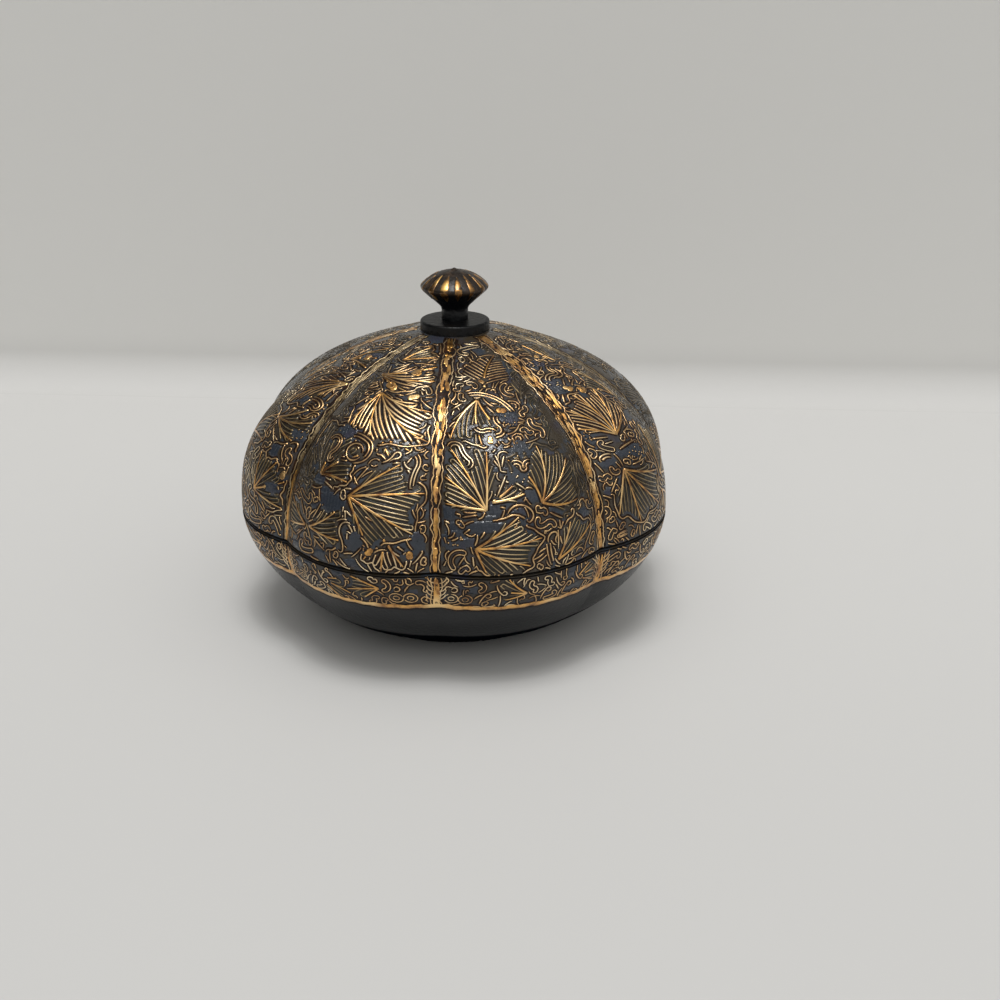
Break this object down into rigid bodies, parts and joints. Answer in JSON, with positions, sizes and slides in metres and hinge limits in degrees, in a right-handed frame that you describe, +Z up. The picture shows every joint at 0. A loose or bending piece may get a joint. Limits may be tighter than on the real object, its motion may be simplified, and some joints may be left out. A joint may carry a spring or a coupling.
{
  "type": "powder box",
  "caption": "Melon-shaped lacquered papier-mache box on a round foot, with a lift-off lid, an inner collar and a turned knob on a small plate.",
  "frame": {"origin": "middle of the foot's underside, on the surface that the box stands on", "axes": "+Z up through the knob; a valley between two lobes faces -Y"},
  "size_m": [0.1048, 0.1048, 0.0855],
  "materials": {
    "body_lacquer": "papier-mache under black and slate-blue gloss lacquer, painted with gold line",
    "foot_lacquer": "pasteboard under black lacquer",
    "collar_lacquer": "pasteboard under black lacquer, satin",
    "turned_wood_lacquer": "turned wood under black gloss lacquer",
    "washer_brass": "plain brass",
    "screw_steel": "plain steel",
    "gold_paint": "gold paint under clear lacquer"
  },
  "bodies": {
    "bowl": {"bowl_shell": "body_lacquer", "foot_disc": "foot_lacquer", "mouth_collar": "collar_lacquer"},
    "lid": {"lid_shell": "body_lacquer", "knob_plate": "turned_wood_lacquer", "knob": "turned_wood_lacquer", "knob_washer": "washer_brass", "knob_screw": "screw_steel"}
  },
  "joints": [
    {"name": "lid_lift", "type": "slide", "parent": "bowl", "child": "lid", "axis": [0, 0, 1], "range_m": [0, 0.06]}
  ]
}
